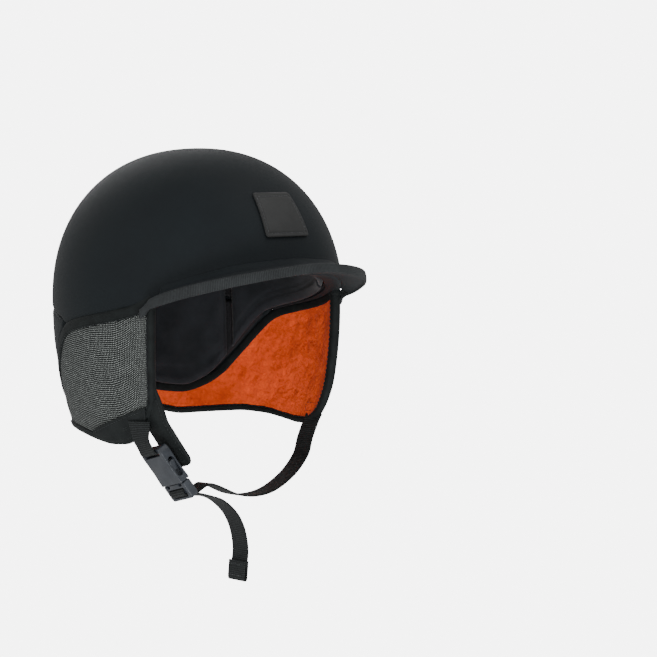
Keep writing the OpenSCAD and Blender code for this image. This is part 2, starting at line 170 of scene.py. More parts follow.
class Cloth:
    """A material being built: a Principled shader and short calls that add nodes to it."""

    def __init__(self, name, roughness, specular=0.3, sheen=0.0, coat=0.0):
        self.material = bpy.data.materials.new(name)
        self.material.use_nodes = True
        self.tree = self.material.node_tree
        self.shader = self.tree.nodes["Principled BSDF"]
        self.shader.inputs["Roughness"].default_value = roughness
        self.shader.inputs["Specular IOR Level"].default_value = specular
        self.shader.inputs["Sheen Weight"].default_value = sheen
        self.shader.inputs["Sheen Roughness"].default_value = 0.45
        self.shader.inputs["Coat Weight"].default_value = coat
        uv = self.tree.nodes.new("ShaderNodeUVMap")
        uv.uv_map = "cloth"
        split = self.tree.nodes.new("ShaderNodeSeparateXYZ")
        self.tree.links.new(uv.outputs["UV"], split.inputs["Vector"])
        self.uv, self.u, self.v = uv.outputs["UV"], split.outputs["X"], split.outputs["Y"]
        self.place = self.tree.nodes.new("ShaderNodeTexCoord").outputs["Object"]

    def math(self, operation, a, b=0.0, clamp=False):
        node = self.tree.nodes.new("ShaderNodeMath")
        node.operation = operation
        node.use_clamp = clamp
        for socket, value in zip(node.inputs, (a, b)):
            if isinstance(value, (int, float)):
                socket.default_value = value
            else:
                self.tree.links.new(value, socket)
        return node.outputs[0]

    def wave(self, coordinate, pitch, shift=0.0):
        """0 to 1 and back over each pitch, in the cloth map's millimetres."""
        angle = self.math("MULTIPLY", coordinate, 2.0 * math.pi / pitch)
        swing = self.math("SINE", self.math("ADD", angle, shift))
        return self.math("ADD", self.math("MULTIPLY", swing, 0.5), 0.5)

    def noise(self, scale, detail=3.0, source=None):
        node = self.tree.nodes.new("ShaderNodeTexNoise")
        node.inputs["Scale"].default_value = scale
        node.inputs["Detail"].default_value = detail
        self.tree.links.new(self.place if source is None else source, node.inputs["Vector"])
        return node.outputs["Fac"]

    def colour(self, factor, low, high, from_min=0.0, from_max=1.0):
        ramp = self.tree.nodes.new("ShaderNodeValToRGB")
        for element, position, value in zip(
                ramp.color_ramp.elements, (from_min, from_max), (low, high)):
            element.position = position
            element.color = (*value, 1.0)
        self.tree.links.new(factor, ramp.inputs["Fac"])
        self.tree.links.new(ramp.outputs["Color"], self.shader.inputs["Base Color"])
        return self

    def roughness(self, factor, low, high):
        node = self.tree.nodes.new("ShaderNodeMapRange")
        node.inputs["To Min"].default_value = low
        node.inputs["To Max"].default_value = high
        self.tree.links.new(factor, node.inputs["Value"])
        self.tree.links.new(node.outputs["Result"], self.shader.inputs["Roughness"])
        return self

    def bump(self, height, depth, strength=1.0):
        """height, 0 to 1, raises the surface by up to depth mm."""
        node = self.tree.nodes.new("ShaderNodeBump")
        node.inputs["Distance"].default_value = depth * MM
        node.inputs["Strength"].default_value = strength
        self.tree.links.new(height, node.inputs["Height"])
        self.tree.links.new(node.outputs["Normal"], self.shader.inputs["Normal"])
        return self


def stretch_fabric():
    """Fine two-way stretch jersey, very dark blue grey."""
    c = Cloth("stretch_fabric", 0.70, specular=0.13, sheen=0.01)
    weave = c.math("MULTIPLY", c.wave(c.u, 0.9), c.wave(c.v, 0.9))
    cloudy = c.noise(22.0, 4.0)
    c.colour(c.math("ADD", c.math("MULTIPLY", cloudy, 0.7), c.math("MULTIPLY", weave, 0.3)),
             (0.0050, 0.0070, 0.0084), (0.0088, 0.0122, 0.0142), 0.25, 0.8)
    c.roughness(cloudy, 0.56, 0.70)
    return c.bump(weave, 0.10, 0.5).material


def pad_jersey():
    """Brushed black jersey of the liner pads."""
    c = Cloth("pad_jersey", 0.80, specular=0.2, sheen=0.10)
    fuzz = c.noise(900.0, 4.0)
    c.colour(c.noise(60.0), (0.0085, 0.0100, 0.0125), (0.0170, 0.0195, 0.0235), 0.3, 0.75)
    return c.bump(fuzz, 0.12, 0.6).material


def binding_tape():
    """Soft black tape with a fine grain, folded over the edges."""
    c = Cloth("binding_tape", 0.7, specular=0.14, sheen=0.01)
    grain = c.math("MULTIPLY", c.wave(c.u, 1.1), c.wave(c.v, 0.8))
    c.colour(c.noise(120.0), (0.0040, 0.0054, 0.0056), (0.0092, 0.0118, 0.0120), 0.3, 0.75)
    return c.bump(grain, 0.10, 0.6).material


def brim_ribbing():
    """Ribbed grosgrain round the brim, a shade lighter than the fabric."""
    c = Cloth("brim_ribbing", 0.7, specular=0.16, sheen=0.01)
    rib = c.wave(c.u, 1.3)
    c.colour(c.math("ADD", c.math("MULTIPLY", c.noise(90.0), 0.5), c.math("MULTIPLY", rib, 0.5)),
             (0.0100, 0.0115, 0.0125), (0.0300, 0.0335, 0.0350), 0.2, 0.85)
    return c.bump(rib, 0.25, 0.9).material


def air_mesh():
    """Open mesh of black cells crossed by rows of light grey knots."""
    pitch = 1.6
    c = Cloth("air_mesh", 0.75, specular=0.15, sheen=0.0)
    sway = c.math("MULTIPLY", c.math("SUBTRACT", c.noise(45.0, 2.0), 0.5), 3.0)
    across = c.wave(c.math("ADD", c.u, sway), pitch)
    along = c.wave(c.math("ADD", c.v, sway), pitch)
    knot = c.math("MULTIPLY", across, along)
    cord = c.math("MULTIPLY", along, 0.34)
    thread = c.math("MAXIMUM", knot, cord)
    worn = c.math("ADD", 0.72, c.math("MULTIPLY", c.noise(150.0), 0.5))
    c.colour(c.math("MULTIPLY", thread, worn), (0.003, 0.004, 0.004), (0.28, 0.300, 0.290), 0.20, 0.84)
    return c.bump(thread, 0.35, 0.9).material


def fleece():
    """Brushed orange fleece."""
    c = Cloth("fleece", 0.95, specular=0.05, sheen=0.04)
    nap = c.noise(420.0, 5.0)
    patchy = c.math("ADD", c.math("MULTIPLY", c.noise(55.0, 3.0), 0.6), c.math("MULTIPLY", nap, 0.4))
    c.colour(patchy, (0.62, 0.060, 0.014), (1.00, 0.118, 0.026), 0.32, 0.70)
    crumple = c.math("MULTIPLY", c.noise(190.0, 4.0), 0.6)
    return c.bump(c.math("ADD", crumple, c.math("MULTIPLY", nap, 0.4)), 2.2, 1.0).material


def smooth_patch():
    """Smooth dark cloth of the anchor patch and the chin tab."""
    c = Cloth("smooth_patch", 0.66, specular=0.16, sheen=0.01)
    c.colour(c.noise(70.0), (0.0050, 0.0064, 0.0066), (0.0115, 0.0140, 0.0142), 0.3, 0.75)
    weave = c.math("MULTIPLY", c.wave(c.u, 0.7), c.wave(c.v, 0.7))
    return c.bump(weave, 0.06, 0.5).material


def webbing():
    """Ribbed nylon webbing: ribs across the strap and a denser line along each side."""
    c = Cloth("webbing", 0.66, specular=0.18, sheen=0.01)
    rib = c.wave(c.u, 1.6)
    twill = c.wave(c.math("ADD", c.v, c.math("MULTIPLY", c.wave(c.u, 3.2), 0.8)), 1.5)
    height = c.math("ADD", c.math("MULTIPLY", rib, 0.65), c.math("MULTIPLY", twill, 0.35))
    c.colour(c.math("MULTIPLY", height, c.math("ADD", 0.6, c.math("MULTIPLY", c.noise(130.0), 0.8))),
             (0.0030, 0.0038, 0.0040), (0.0200, 0.0230, 0.0235), 0.15, 0.9)
    return c.bump(height, 0.4, 0.9).material


def moulded_plastic():
    """Slate-grey acetal with a satin grain and paler scuffs."""
    c = Cloth("moulded_plastic", 0.38, specular=0.45)
    scuff = c.noise(160.0, 6.0)
    c.colour(scuff, (0.0165, 0.0200, 0.0260), (0.0330, 0.0385, 0.0470), 0.35, 0.8)
    c.roughness(scuff, 0.30, 0.52)
    return c.bump(c.noise(1400.0, 3.0), 0.03, 0.5).material


def grained_rubber(name, dark, light):
    """Matt moulded rubber with a fine leather-like grain."""
    c = Cloth(name, 0.58, specular=0.35)
    cells = c.tree.nodes.new("ShaderNodeTexVoronoi")
    cells.inputs["Scale"].default_value = 1100.0
    c.tree.links.new(c.place, cells.inputs["Vector"])
    c.colour(c.noise(80.0), dark, light, 0.3, 0.75)
    return c.bump(cells.outputs["Distance"], 0.08, 0.6).material


def looped_pile():
    """Black loop tape of the adjuster's base."""
    c = Cloth("looped_pile", 0.95, specular=0.1, sheen=0.2)
    pile = c.noise(1500.0, 5.0)
    c.colour(pile, (0.004, 0.004, 0.005), (0.014, 0.014, 0.016), 0.35, 0.7)
    return c.bump(pile, 0.5, 0.9).material


def shell_foam():
    """Closed-cell foam, dark grey."""
    c = Cloth("shell_foam", 0.9, specular=0.2)
    cell = c.noise(1200.0, 4.0)
    c.colour(cell, (0.008, 0.008, 0.009), (0.018, 0.018, 0.020), 0.35, 0.7)
    return c.bump(cell, 0.2, 0.7).material


def sewing_thread(name, dark, light):
    c = Cloth(name, 0.65, specular=0.3)
    c.colour(c.noise(600.0), dark, light, 0.3, 0.7)
    return c.bump(c.noise(2500.0), 0.05, 0.6).material


MATERIALS = {
    "shell_fabric": stretch_fabric(), "pad_fabric": pad_jersey(), "binding": binding_tape(),
    "brim_tape": brim_ribbing(), "air_mesh": air_mesh(), "fleece": fleece(),
    "dark_panel": smooth_patch(), "webbing": webbing(), "buckle_plastic": moulded_plastic(),
    "patch_rubber": grained_rubber("patch_rubber", (0.006, 0.0065, 0.0065), (0.0115, 0.0122, 0.0122)),
    "tab_rubber": grained_rubber("tab_rubber", (0.022, 0.025, 0.026), (0.042, 0.046, 0.047)),
    "loop_tape": looped_pile(), "foam": shell_foam(), "hook_plastic": looped_pile(),
    "dark_thread": sewing_thread("dark_thread", (0.010, 0.012, 0.013), (0.030, 0.034, 0.036)),
    "grey_thread": sewing_thread("grey_thread", (0.030, 0.033, 0.035), (0.075, 0.080, 0.082)),
    "orange_thread": sewing_thread("orange_thread", (0.10, 0.012, 0.003), (0.22, 0.030, 0.006)),
}

# ---------------------------------------------------------------- making pieces


def make(name, points, faces, look, uv=None):
    """A smooth closed mesh from points in mm, with its cloth map in mm."""
    mesh = bpy.data.meshes.new(name)
    mesh.from_pydata((np.asarray(points) * MM).tolist(), [], [list(f) for f in faces])
    layer = mesh.uv_layers.new(name="cloth")
    if uv is not None:
        corners = np.empty(len(mesh.loops), int)
        mesh.loops.foreach_get("vertex_index", corners)
        layer.data.foreach_set("uv", np.asarray(uv, float)[corners].ravel())
    bm = bmesh.new()
    bm.from_mesh(mesh)
    bmesh.ops.remove_doubles(bm, verts=bm.verts, dist=0.004 * MM)
    bmesh.ops.recalc_face_normals(bm, faces=bm.faces)
    bm.to_mesh(mesh)
    bm.free()
    mesh.shade_smooth()
    piece = bpy.data.objects.new(name, mesh)
    bpy.context.scene.collection.objects.link(piece)
    mesh.materials.append(MATERIALS[look])
    return piece


def grid_faces(m, n, start=0, wrap_u=False, wrap_v=False):
    """Quads of a grid of m columns and n rows of points, column by column."""
    i = np.arange(m if wrap_u else m - 1)
    j = np.arange(n if wrap_v else n - 1)
    i, j = [x.ravel() for x in np.meshgrid(i, j, indexing="ij")]
    k, h = (i + 1) % m, (j + 1) % n
    return (start + np.stack([i * n + j, i * n + h, k * n + h, k * n + j], 1)).tolist()


def arc_map(points):
    """The cloth map of a grid of points: lengths in mm along its columns and its rows."""
    def run(axis):
        step = np.linalg.norm(np.diff(points, axis=axis), axis=-1)
        pad = [(1, 0) if a == axis else (0, 0) for a in (0, 1)]
        return np.cumsum(np.pad(step, pad), axis=axis)
    u = run(0)
    middle = u[:, u.shape[1] // 2][:, None]
    return np.stack([np.broadcast_to(middle, u.shape), run(1)], -1)


def two_sided(name, outer, inner, look):
    """A closed piece between two grids whose borders coincide."""
    m, n = outer.shape[:2]
    uv = arc_map(outer)
    points = np.concatenate([outer.reshape(-1, 3), inner.reshape(-1, 3)])
    back = [f[::-1] for f in grid_faces(m, n, m * n)]
    return make(name, points, grid_faces(m, n) + back, look, np.concatenate([uv.reshape(-1, 2)] * 2))


def panel(name, turn, z, mid, half, look, relief=None, slanted=False):
    """A closed soft layer on the shell over a grid of turns and heights, its thickness falling
    to nothing along the borders. relief moves both faces outwards."""
    shift = 0.0 if relief is None else relief(turn, z)
    if slanted:
        turn = leaned(turn, z)
    return two_sided(name, on_shell(turn, z, mid + half + shift),
                     on_shell(turn, z, mid - half + shift), look)


def spread(turns, low, high, rows):
    """Grids of turns and heights between two height lines."""
    t = np.repeat(np.asarray(turns, float)[:, None], rows + 1, 1)
    s = toward_ends(rows)[None, :]
    lo, hi = low(turns)[:, None], high(turns)[:, None]
    return t, lo + (hi - lo) * s


def edge_distance(turn, z):
    """Distance in mm of each point of such a grid from the nearest border."""
    t0, t1 = turn[0, 0], turn[-1, 0]
    sides = np.minimum(turn - t0, t1 - turn) * MM_PER_DEGREE
    slope = np.gradient(z, axis=0) / (np.gradient(turn, axis=0) * MM_PER_DEGREE)
    lean = 1.0 / np.sqrt(1.0 + slope ** 2)
    return np.minimum(sides, np.minimum(z - z[:, :1], z[:, -1:] - z) * lean)


def finish_piece(piece, slot, body, *nodes):
    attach(piece, body)
    if nodes:
        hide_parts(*nodes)
    return piece


def mirrored(turn, side):
    return turn if side == "right" else 360.0 - turn


# ---------------------------------------------------------------- sewing


def stitches(name, path, lift, look, pitch=3.6, length=2.5, radius=0.28):
    """A row of thread stitches along a path on a surface; lift is the surface's outward way."""
    path, lift = np.asarray(path, float), np.asarray(lift, float)
    run = np.concatenate([[0.0], np.cumsum(np.linalg.norm(np.diff(path, axis=0), axis=1))])
    count = max(1, int(run[-1] / pitch))
    starts = (run[-1] - count * pitch) / 2 + pitch * np.arange(count) + (pitch - length) / 2
    points, faces, uv = [], [], []
    sides = 6
    for s in starts:
        stations = s + length * np.array([0.0, 0.12, 0.5, 0.88, 1.0])
        size = radius * np.array([0.35, 0.85, 1.0, 0.85, 0.35])
        rise = radius * np.array([-0.7, 0.1, 0.45, 0.1, -0.7])
        centre = np.stack([np.interp(stations, run, path[:, k]) for k in range(3)], 1)
        up = np.stack([np.interp(stations, run, lift[:, k]) for k in range(3)], 1)
        up /= np.linalg.norm(up, axis=1)[:, None]
        along = centre[-1] - centre[0]
        across = np.cross(up, along / np.linalg.norm(along))
        first = len(points)
        for k in range(len(stations)):
            for q in range(sides):
                a = 2 * math.pi * q / sides
                points.append(centre[k] + up[k] * (rise[k] + size[k] * math.sin(a))
                              + across[k] * size[k] * math.cos(a))
                uv.append((stations[k], q))
        for k in range(len(stations) - 1):
            for q in range(sides):
                r = (q + 1) % sides
                faces.append([first + k * sides + q, first + k * sides + r,
                              first + (k + 1) * sides + r, first + (k + 1) * sides + q])
        faces.append([first + q for q in range(sides)])
        faces.append([first + (len(stations) - 1) * sides + q for q in range(sides)])
    return make(name, np.array(points), faces, look, np.array(uv))


def shell_stitches(name, turns, heights, off, look, slanted=False, **kind):
    """Stitches along a line of turns and heights, off mm outside the shell's surface."""
    if slanted:
        turns = leaned(turns, heights)
    path = on_shell(turns, heights, off)
    out = on_shell(turns, heights, off + 1.0) - path
    return stitches(name, path, out * (1.0 if kind.pop("outwards", True) else -1.0), look, **kind)


# ---------------------------------------------------------------- shell


def dome_low(turn):
    share = smoothstep(100.0, 108.0, fold(turn))
    return edge(turn) * (1.0 - share) + (groove(turn) - 0.3) * share


def wrapped_shell(name, turns, profile, look, wrap):
    """A closed piece swept round the shell; profile(turn) gives heights and offsets of a loop."""
    loops = [on_shell(t, *profile(t)) for t in turns]
    grid = np.array(loops)
    m, n = grid.shape[:2]
    uv = arc_map(grid)
    faces = grid_faces(m, n, wrap_u=wrap, wrap_v=True)
    if not wrap:
        faces += [list(range(n)), list(range((m - 1) * n, m * n))]
    return make(name, grid.reshape(-1, 3), faces, look, uv.reshape(-1, 2))


def dome_profile(low_at, out, inner, roll, lip):
    """Profile of a dome-shaped layer: outer face down from the crown, a rolled lower edge that
    turns inwards as far as lip, and the inner face back up to the crown."""
    def profile(turn):
        low = float(low_at(turn))
        climb = np.sin(np.radians(np.linspace(90.0, 0.0, 46))) ** (2.0 / DOME_POWER)
        z_out = low + roll + (CROWN_H + out - low - roll) * climb
        bend = np.radians(np.linspace(0.0, 90.0, 8))[1:]
        z_roll = low + roll - roll * np.sin(bend)
        off_roll = out - roll + roll * np.cos(bend)
        z_lip = np.array([low, low + COVER_T, low + COVER_T])
        off_lip = np.array([lip, lip, inner - 0.5])
        z_in = low + roll + (CROWN_H + inner - low - roll) * climb[::-1]
        return (np.concatenate([z_out, z_roll, z_lip, z_in]),
                np.concatenate([np.full(46, out), off_roll, off_lip, np.full(46, inner)]))
    return profile


def make_crown():
    turns = np.arange(0.0, 360.0, 2.0)
    cover = wrapped_shell("crown_cover_cloth", turns,
                          dome_profile(dome_low, 0.0, -COVER_T, 3.4, FOAM_IN + 0.4),
                          "shell_fabric", True)
    finish_piece(cover, "shell_fabric", "helmet", "crown_cover")
    foam = wrapped_shell("crown_foam_body", turns,
                         dome_profile(lambda t: dome_low(t) + 2.0, FOAM_OUT, FOAM_IN, 2.0, FOAM_IN),
                         "foam", True)
    finish_piece(foam, "foam", "helmet", "crown_foam")


ARCH_TURN = math.degrees(math.asin(ARCH_R / (SHELL_L / 2 * float(ring(np.array(ARCH_Z), 0.0)))))


def arch_x(turn):
    return np.abs(SHELL_L / 2 * ring(np.full_like(turn, ARCH_Z), 0.0) * np.sin(np.radians(180.0 - turn)))


def lobe_low(turn):
    """The shell's lower edge with the arched opening over the adjuster."""
    turn = np.asarray(turn, float)
    x = arch_x(turn)
    inside = (np.cos(np.radians(turn)) < 0) & (x < ARCH_R - 0.01)
    arch = ARCH_Z + np.sqrt(np.maximum(ARCH_R ** 2 - x ** 2, 0.0))
    return np.where(inside, arch, edge(turn))


def arch_distance(turn, z):
    x = arch_x(turn)
    over = np.hypot(x, z - ARCH_Z) - ARCH_R
    near = np.where(z > ARCH_Z, over, x - ARCH_R)
    return np.where(np.cos(np.radians(turn)) < 0, np.maximum(near, 0.0), 99.0)


def lobe_turns(first, count):
    """Turns from first round the back to its mirror image, closer together at the arch."""
    left = np.linspace(first, 180.0 - ARCH_TURN - 3.0, count)
    side = 180.0 - ARCH_TURN - np.array([2.0, 1.2, 0.6, 0.2, 0.04])
    inside = 180.0 - ARCH_TURN * 0.998 * np.sin(np.radians(np.linspace(90.0, 0.0, 14)))
    half = np.concatenate([left, side, inside])
    return np.concatenate([half, 360.0 - half[-2::-1]])


def arched_panel(name, first, count, top, mid, half_t, roll, bulge, look, drop=0.0, rows=30):
    turn, z = spread(lobe_turns(first, count), lambda t: lobe_low(t) + drop, top, rows)
    distance = np.minimum(edge_distance(turn, z), arch_distance(turn, z))
    swell = bulge * smoothstep(0.0, 30.0, distance)
    return panel(name, turn, z, mid + swell, half_t * rounded(distance, roll), look)


def make_rear_lobe():
    cover = arched_panel("rear_cover_cloth", 104.5, 44, lambda t: groove(t) - 0.7, -3.6, 3.6, 3.6, 0.5,
                         "shell_fabric")
    finish_piece(cover, "shell_fabric", "helmet", "rear_cover")
    foam = arched_panel("rear_foam_body", 107.0, 36, lambda t: groove(t) - 1.5, -10.4, 3.5, 3.0, 0.0,
                        "foam", 1.0, 20)
    finish_piece(foam, "foam", "helmet", "rear_foam")


# ---------------------------------------------------------------- liner pads

PAD_TOP = 60.0
CHANNEL_AT = 9.0                  # the liner's double seam, up from its lower edge


def channel(distance, at, width=1.6):
    """0 in the middle of a sewn line and 1 away from it."""
    return 1.0 - np.exp(-((distance - at) / width) ** 2)


def make_pad(name, first, last, node):
    turns = first + (last - first) * toward_ends(44, 0.5)
    if node == "rear_pad":
        turns = lobe_turns(first, 24)
    turn, z = spread(turns, lambda t: lobe_low(t) + 0.6, lambda t: PAD_TOP + 0.0 * t, 44)
    distance = np.minimum(edge_distance(turn, z), arch_distance(turn, z))
    from_low = np.minimum(z - z[:, :1], arch_distance(turn, z))
    sewn = channel(from_low, CHANNEL_AT) * channel(from_low, CHANNEL_AT + 4.0)
    half = 2.9 * rounded(distance, 9.0) * (0.62 + 0.38 * sewn)
    puff = 0.7 * rough(on_shell(turn, z, 0.0), 26.0)
    piece = panel(name, turn, z, (PAD_OUT + PAD_IN) / 2 + 0.3 - 0.4 * puff, half, "pad_fabric")
    finish_piece(piece, "pad_fabric", "helmet", node)
    return piece


def make_crown_pad():
    low = PAD_TOP + 2.0
    profile = dome_profile(lambda t: low, PAD_OUT, PAD_IN - 0.6, 2.0, PAD_IN)
    piece = wrapped_shell("crown_pad_cushion", np.arange(0.0, 360.0, 4.0), profile, "pad_fabric", True)
    finish_piece(piece, "pad_fabric", "helmet", "crown_pad")


# ---------------------------------------------------------------- brim and front patch


def brim_reach(turn):
    return BRIM_OUT * np.maximum(0.0, np.cos(np.radians(1.5 * turn))) ** 0.65


def make_brim():
    turns = -BRIM_TURN + 2 * BRIM_TURN * toward_ends(110, 0.3)

    def profile(turn):
        reach, rim = float(brim_reach(turn)) - 1.8, float(brim_z(turn))
        root = float(edge(turn))
        s = np.linspace(0.0, 1.0, 16)
        fillet = 5.0 * np.maximum(0.0, 1.0 - s / 0.4) ** 2.2
        top_z = root + 8.0 + (rim + 3.3 - root - 8.0) * s + fillet
        nose = np.radians(np.linspace(90.0, -90.0, 9))[1:-1]
        nose_z = rim + 3.3 * np.sin(nose)
        under_z = root + 1.0 + (rim - 3.3 - root - 1.0) * s
        off = -0.8 + (reach + 0.8) * s
        return (np.concatenate([top_z, nose_z, under_z[::-1]]),
                np.concatenate([off, reach + 1.6 * np.cos(nose), off[::-1]]))

    brim = wrapped_shell("brim_cloth", turns, profile, "shell_fabric", False)
    finish_piece(brim, "shell_fabric", "helmet", "brim_core")


def tape_line(turn):
    """Height of the brim tape's middle; its ends hook down to the shell's edge."""
    return brim_z(turn) - 5.0 * smoothstep(57.0, 62.0, np.abs(turn))


def make_brim_tape():
    turns = -TAPE_TURN + 2 * TAPE_TURN * toward_ends(240, 0.15)
    across = toward_ends(14, 0.9) - 0.5
    turn = np.repeat(turns[:, None], len(across), 1)
    aside = np.abs(turn)
    tall = (8.8 - 1.4 * smoothstep(50.0, 62.0, aside)
            - 1.6 * (1.0 - smoothstep(5.0, 40.0, aside)))
    z = tape_line(turn) + across[None, :] * tall
    ends = (TAPE_TURN - np.abs(turn)) * MM_PER_DEGREE
    half = 1.35 * rounded(np.minimum((0.5 - np.abs(across))[None, :] * tall, ends), 1.5)
    mid = np.maximum(1.2, brim_reach(turn) - 1.5) + 1.0 - 1.3 * (2 * across[None, :]) ** 2 * 0.5 + 0.4
    tape = panel("brim_tape_ribbing", turn, z, mid, half, "brim_tape")
    finish_piece(tape, "brim_tape", "helmet", "brim_tape")
    row = np.linspace(-60.0, 60.0, 200)
    for side, where in (("upper", 1), ("lower", -1)):
        depth = np.maximum(1.2, brim_reach(row) - 1.5) + 1.6
        sewn = shell_stitches(f"brim_stitches_{side}", row, tape_line(row) + where * 3.1, depth + 0.25,
                              "dark_thread", pitch=3.2, length=2.2, radius=0.22)
        finish_piece(sewn, "brim_tape", "helmet")


PATCH_TURN, PATCH_LOW, PATCH_HIGH = 11.5, 50.0, 84.0


def make_patch():
    turns = -PATCH_TURN + 2 * PATCH_TURN * toward_ends(40, 0.5)
    corner = 2.6
    aside = (PATCH_TURN - np.abs(turns)) * MM_PER_DEGREE
    nip = corner - np.sqrt(np.maximum(corner ** 2 - np.maximum(corner - aside, 0.0) ** 2, 0.0))
    turn, z = spread(turns, lambda t: PATCH_LOW + nip, lambda t: PATCH_HIGH - nip, 40)
    distance = edge_distance(turn, z)
    half = 0.95 * rounded(distance, 1.2) * (0.6 + 0.4 * channel(distance, 3.0, 0.7))
    patch = panel("front_patch_rubber", turn, z, 1.15, half, "patch_rubber")
    finish_piece(patch, "patch_rubber", "helmet", "front_patch")
    in_turn, in_z = PATCH_TURN - 3.0 / MM_PER_DEGREE, 3.0
    a, b = PATCH_LOW + in_z, PATCH_HIGH - in_z
    sides = {"low": ([-in_turn, in_turn], [a, a]), "high": ([-in_turn, in_turn], [b, b]),
             "right": ([in_turn, in_turn], [a, b]), "left": ([-in_turn, -in_turn], [a, b])}
    for where, (t, z_line) in sides.items():
        sewn = shell_stitches(f"patch_stitches_{where}", np.linspace(*t, 20), np.linspace(*z_line, 20),
                              1.85, "grey_thread", pitch=2.6, length=1.8, radius=0.24)
        finish_piece(sewn, "patch_rubber", "helmet")


# ---------------------------------------------------------------- tapes along the edges


def smooth_path(turns, heights, step=1.2, ease=7):
    """A line of turns and heights resampled evenly, with its corners rounded off."""
    flat = np.stack([np.asarray(turns, float) * MM_PER_DEGREE, heights], 1)
    run = np.concatenate([[0.0], np.cumsum(np.linalg.norm(np.diff(flat, axis=0), axis=1))])
    even = np.linspace(0.0, run[-1], int(run[-1] / step) + 1)
    line = np.stack([np.interp(even, run, flat[:, k]) for k in (0, 1)], 1)
    padded = np.concatenate([[line[0]] * ease, line, [line[-1]] * ease])
    kernel = np.hanning(2 * ease + 3)[1:-1]
    kernel /= kernel.sum()
    line[1:-1] = np.stack([np.convolve(padded[:, k], kernel, "valid") for k in (0, 1)], 1)[1:-1]
    return line


def band_grid(line, start, stop, columns=12):
    """Turns and heights of a band beside a flat line, from start to stop mm to its left, with the
    distance of each point from the band's border."""
    ahead = np.gradient(line, axis=0)
    ahead /= np.linalg.norm(ahead, axis=1)[:, None]
    left = np.stack([-ahead[:, 1], ahead[:, 0]], 1)
    w = start + (stop - start) * toward_ends(columns, 0.85)
    flat = line[:, None, :] + left[:, None, :] * w[None, :, None]
    run = np.concatenate([[0.0], np.cumsum(np.linalg.norm(np.diff(line, axis=0), axis=1))])
    ends = np.minimum(run, run[-1] - run)[:, None]
    border = np.minimum(np.minimum(w - start, stop - w)[None, :], ends)
    return flat[..., 0] / MM_PER_DEGREE, flat[..., 1], border


def band(name, line, start, stop, mid, half_t, roll, look, side="right", slanted=False):
    turn, z, border = band_grid(line, start, stop)
    crease = 1.0 - 0.1 * np.exp(-((border - 1.6) / 0.7) ** 2)
    return panel(name, mirrored(turn, side), z, mid, half_t * rounded(border, roll) * crease, look,
                 slanted=slanted)


def beside(line, away):
    """Turns and heights of a line away mm to the left of a flat line."""
    turn, z, _ = band_grid(line, away, away + 0.01, 1)
    return turn[:, 0], z[:, 0]


EDGE_TAPE_TOP = 2.2    # how far the binding reaches above the shell's edge
BRIM_ROOT_TOP = 5.2    # how much further it reaches beside the brim's root
BRIM_ROOT_SPAN = 9.0   # degrees of turn over which that dies out


def edge_line():
    turns = np.linspace(FLAP_FRONT + 0.3, 360.0 - FLAP_FRONT - 0.3, 500)
    beside_brim = 1.0 - smoothstep(FLAP_FRONT, FLAP_FRONT + BRIM_ROOT_SPAN, fold(turns))
    return smooth_path(turns, edge(turns) + EDGE_TAPE_TOP + BRIM_ROOT_TOP * beside_brim)


def flap_line():
    """The outline of one flap and half the nape: down the front edge, round the corner and back."""
    top = float(edge(FLAP_FRONT)) + 2.0
    down = np.linspace(top, -70.0, 60)
    back = np.linspace(FLAP_FRONT, 180.0, 300)
    xs, ys = np.array(SKIRT, float).T
    return smooth_path(np.concatenate([np.full(60, FLAP_FRONT), back[1:]]),
                       np.concatenate([down, np.interp(back[1:], xs, ys)]), ease=8)


def flex(piece, side, slot, *nodes):
    """Bakes the piece's placement into its mesh and hides the CAD nodes it stands in for."""
    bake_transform(piece)
    if nodes:
        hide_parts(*nodes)
    return piece


def make_edge_tape():
    line = edge_line()
    tape = band("shell_edge_binding", line, -TAPE_W - 3.4, 0.0, (TAPE_OUT + TAPE_IN) / 2,
                (TAPE_OUT - TAPE_IN) / 2, 3.0, "binding")
    finish_piece(tape, "binding", "helmet", "shell_edge_tape")
    turn, z = beside(line, -TAPE_W - 1.9)
    sewn = shell_stitches("shell_edge_stitches", turn[3:-3], z[3:-3], TAPE_OUT - 0.2, "dark_thread")
    finish_piece(sewn, "binding", "helmet")


def make_flap_tape(side):
    line = flap_line()
    tape = band(f"{side}_flap_binding", line, 0.0, HEM_H + 1.6, (TAPE_OUT + TAPE_IN) / 2,
                (TAPE_OUT - TAPE_IN) / 2, 2.6, "binding", side, slanted=True)
    flex(tape, side, "binding", f"{side}_flap_tape", "nape_hem")
    for face, off, outwards in (("outer", TAPE_OUT - 0.1, True), ("inner", TAPE_IN + 0.1, False)):
        turn, z = beside(line, HEM_H - 0.4)
        sewn = shell_stitches(f"{side}_flap_stitches_{face}", mirrored(turn[2:-2], side), z[2:-2], off,
                              "dark_thread", slanted=True, outwards=outwards)
        flex(sewn, side, "binding")


# ---------------------------------------------------------------- mesh and fleece

NAPE_SEAM = 149.5                 # turn at which the mesh meets the plain nape panel


def cloth_low(turn):
    return skirt(turn) + 2.5


def cloth_top(turn):
    return edge(turn) - 0.6 - TAPE_W * 0.55 - 2.0 * smoothstep(108.0, 116.0, fold(turn)) \
        * (1.0 - smoothstep(136.0, 150.0, fold(turn)))


def puckers(turn, z):
    """Slight waves in sewn cloth, stronger near its borders."""
    points = on_shell(turn, z, 0.0)
    return 0.35 * rough(points, 18.0, 3.0) + 0.18 * rough(points, 7.0, 9.0)


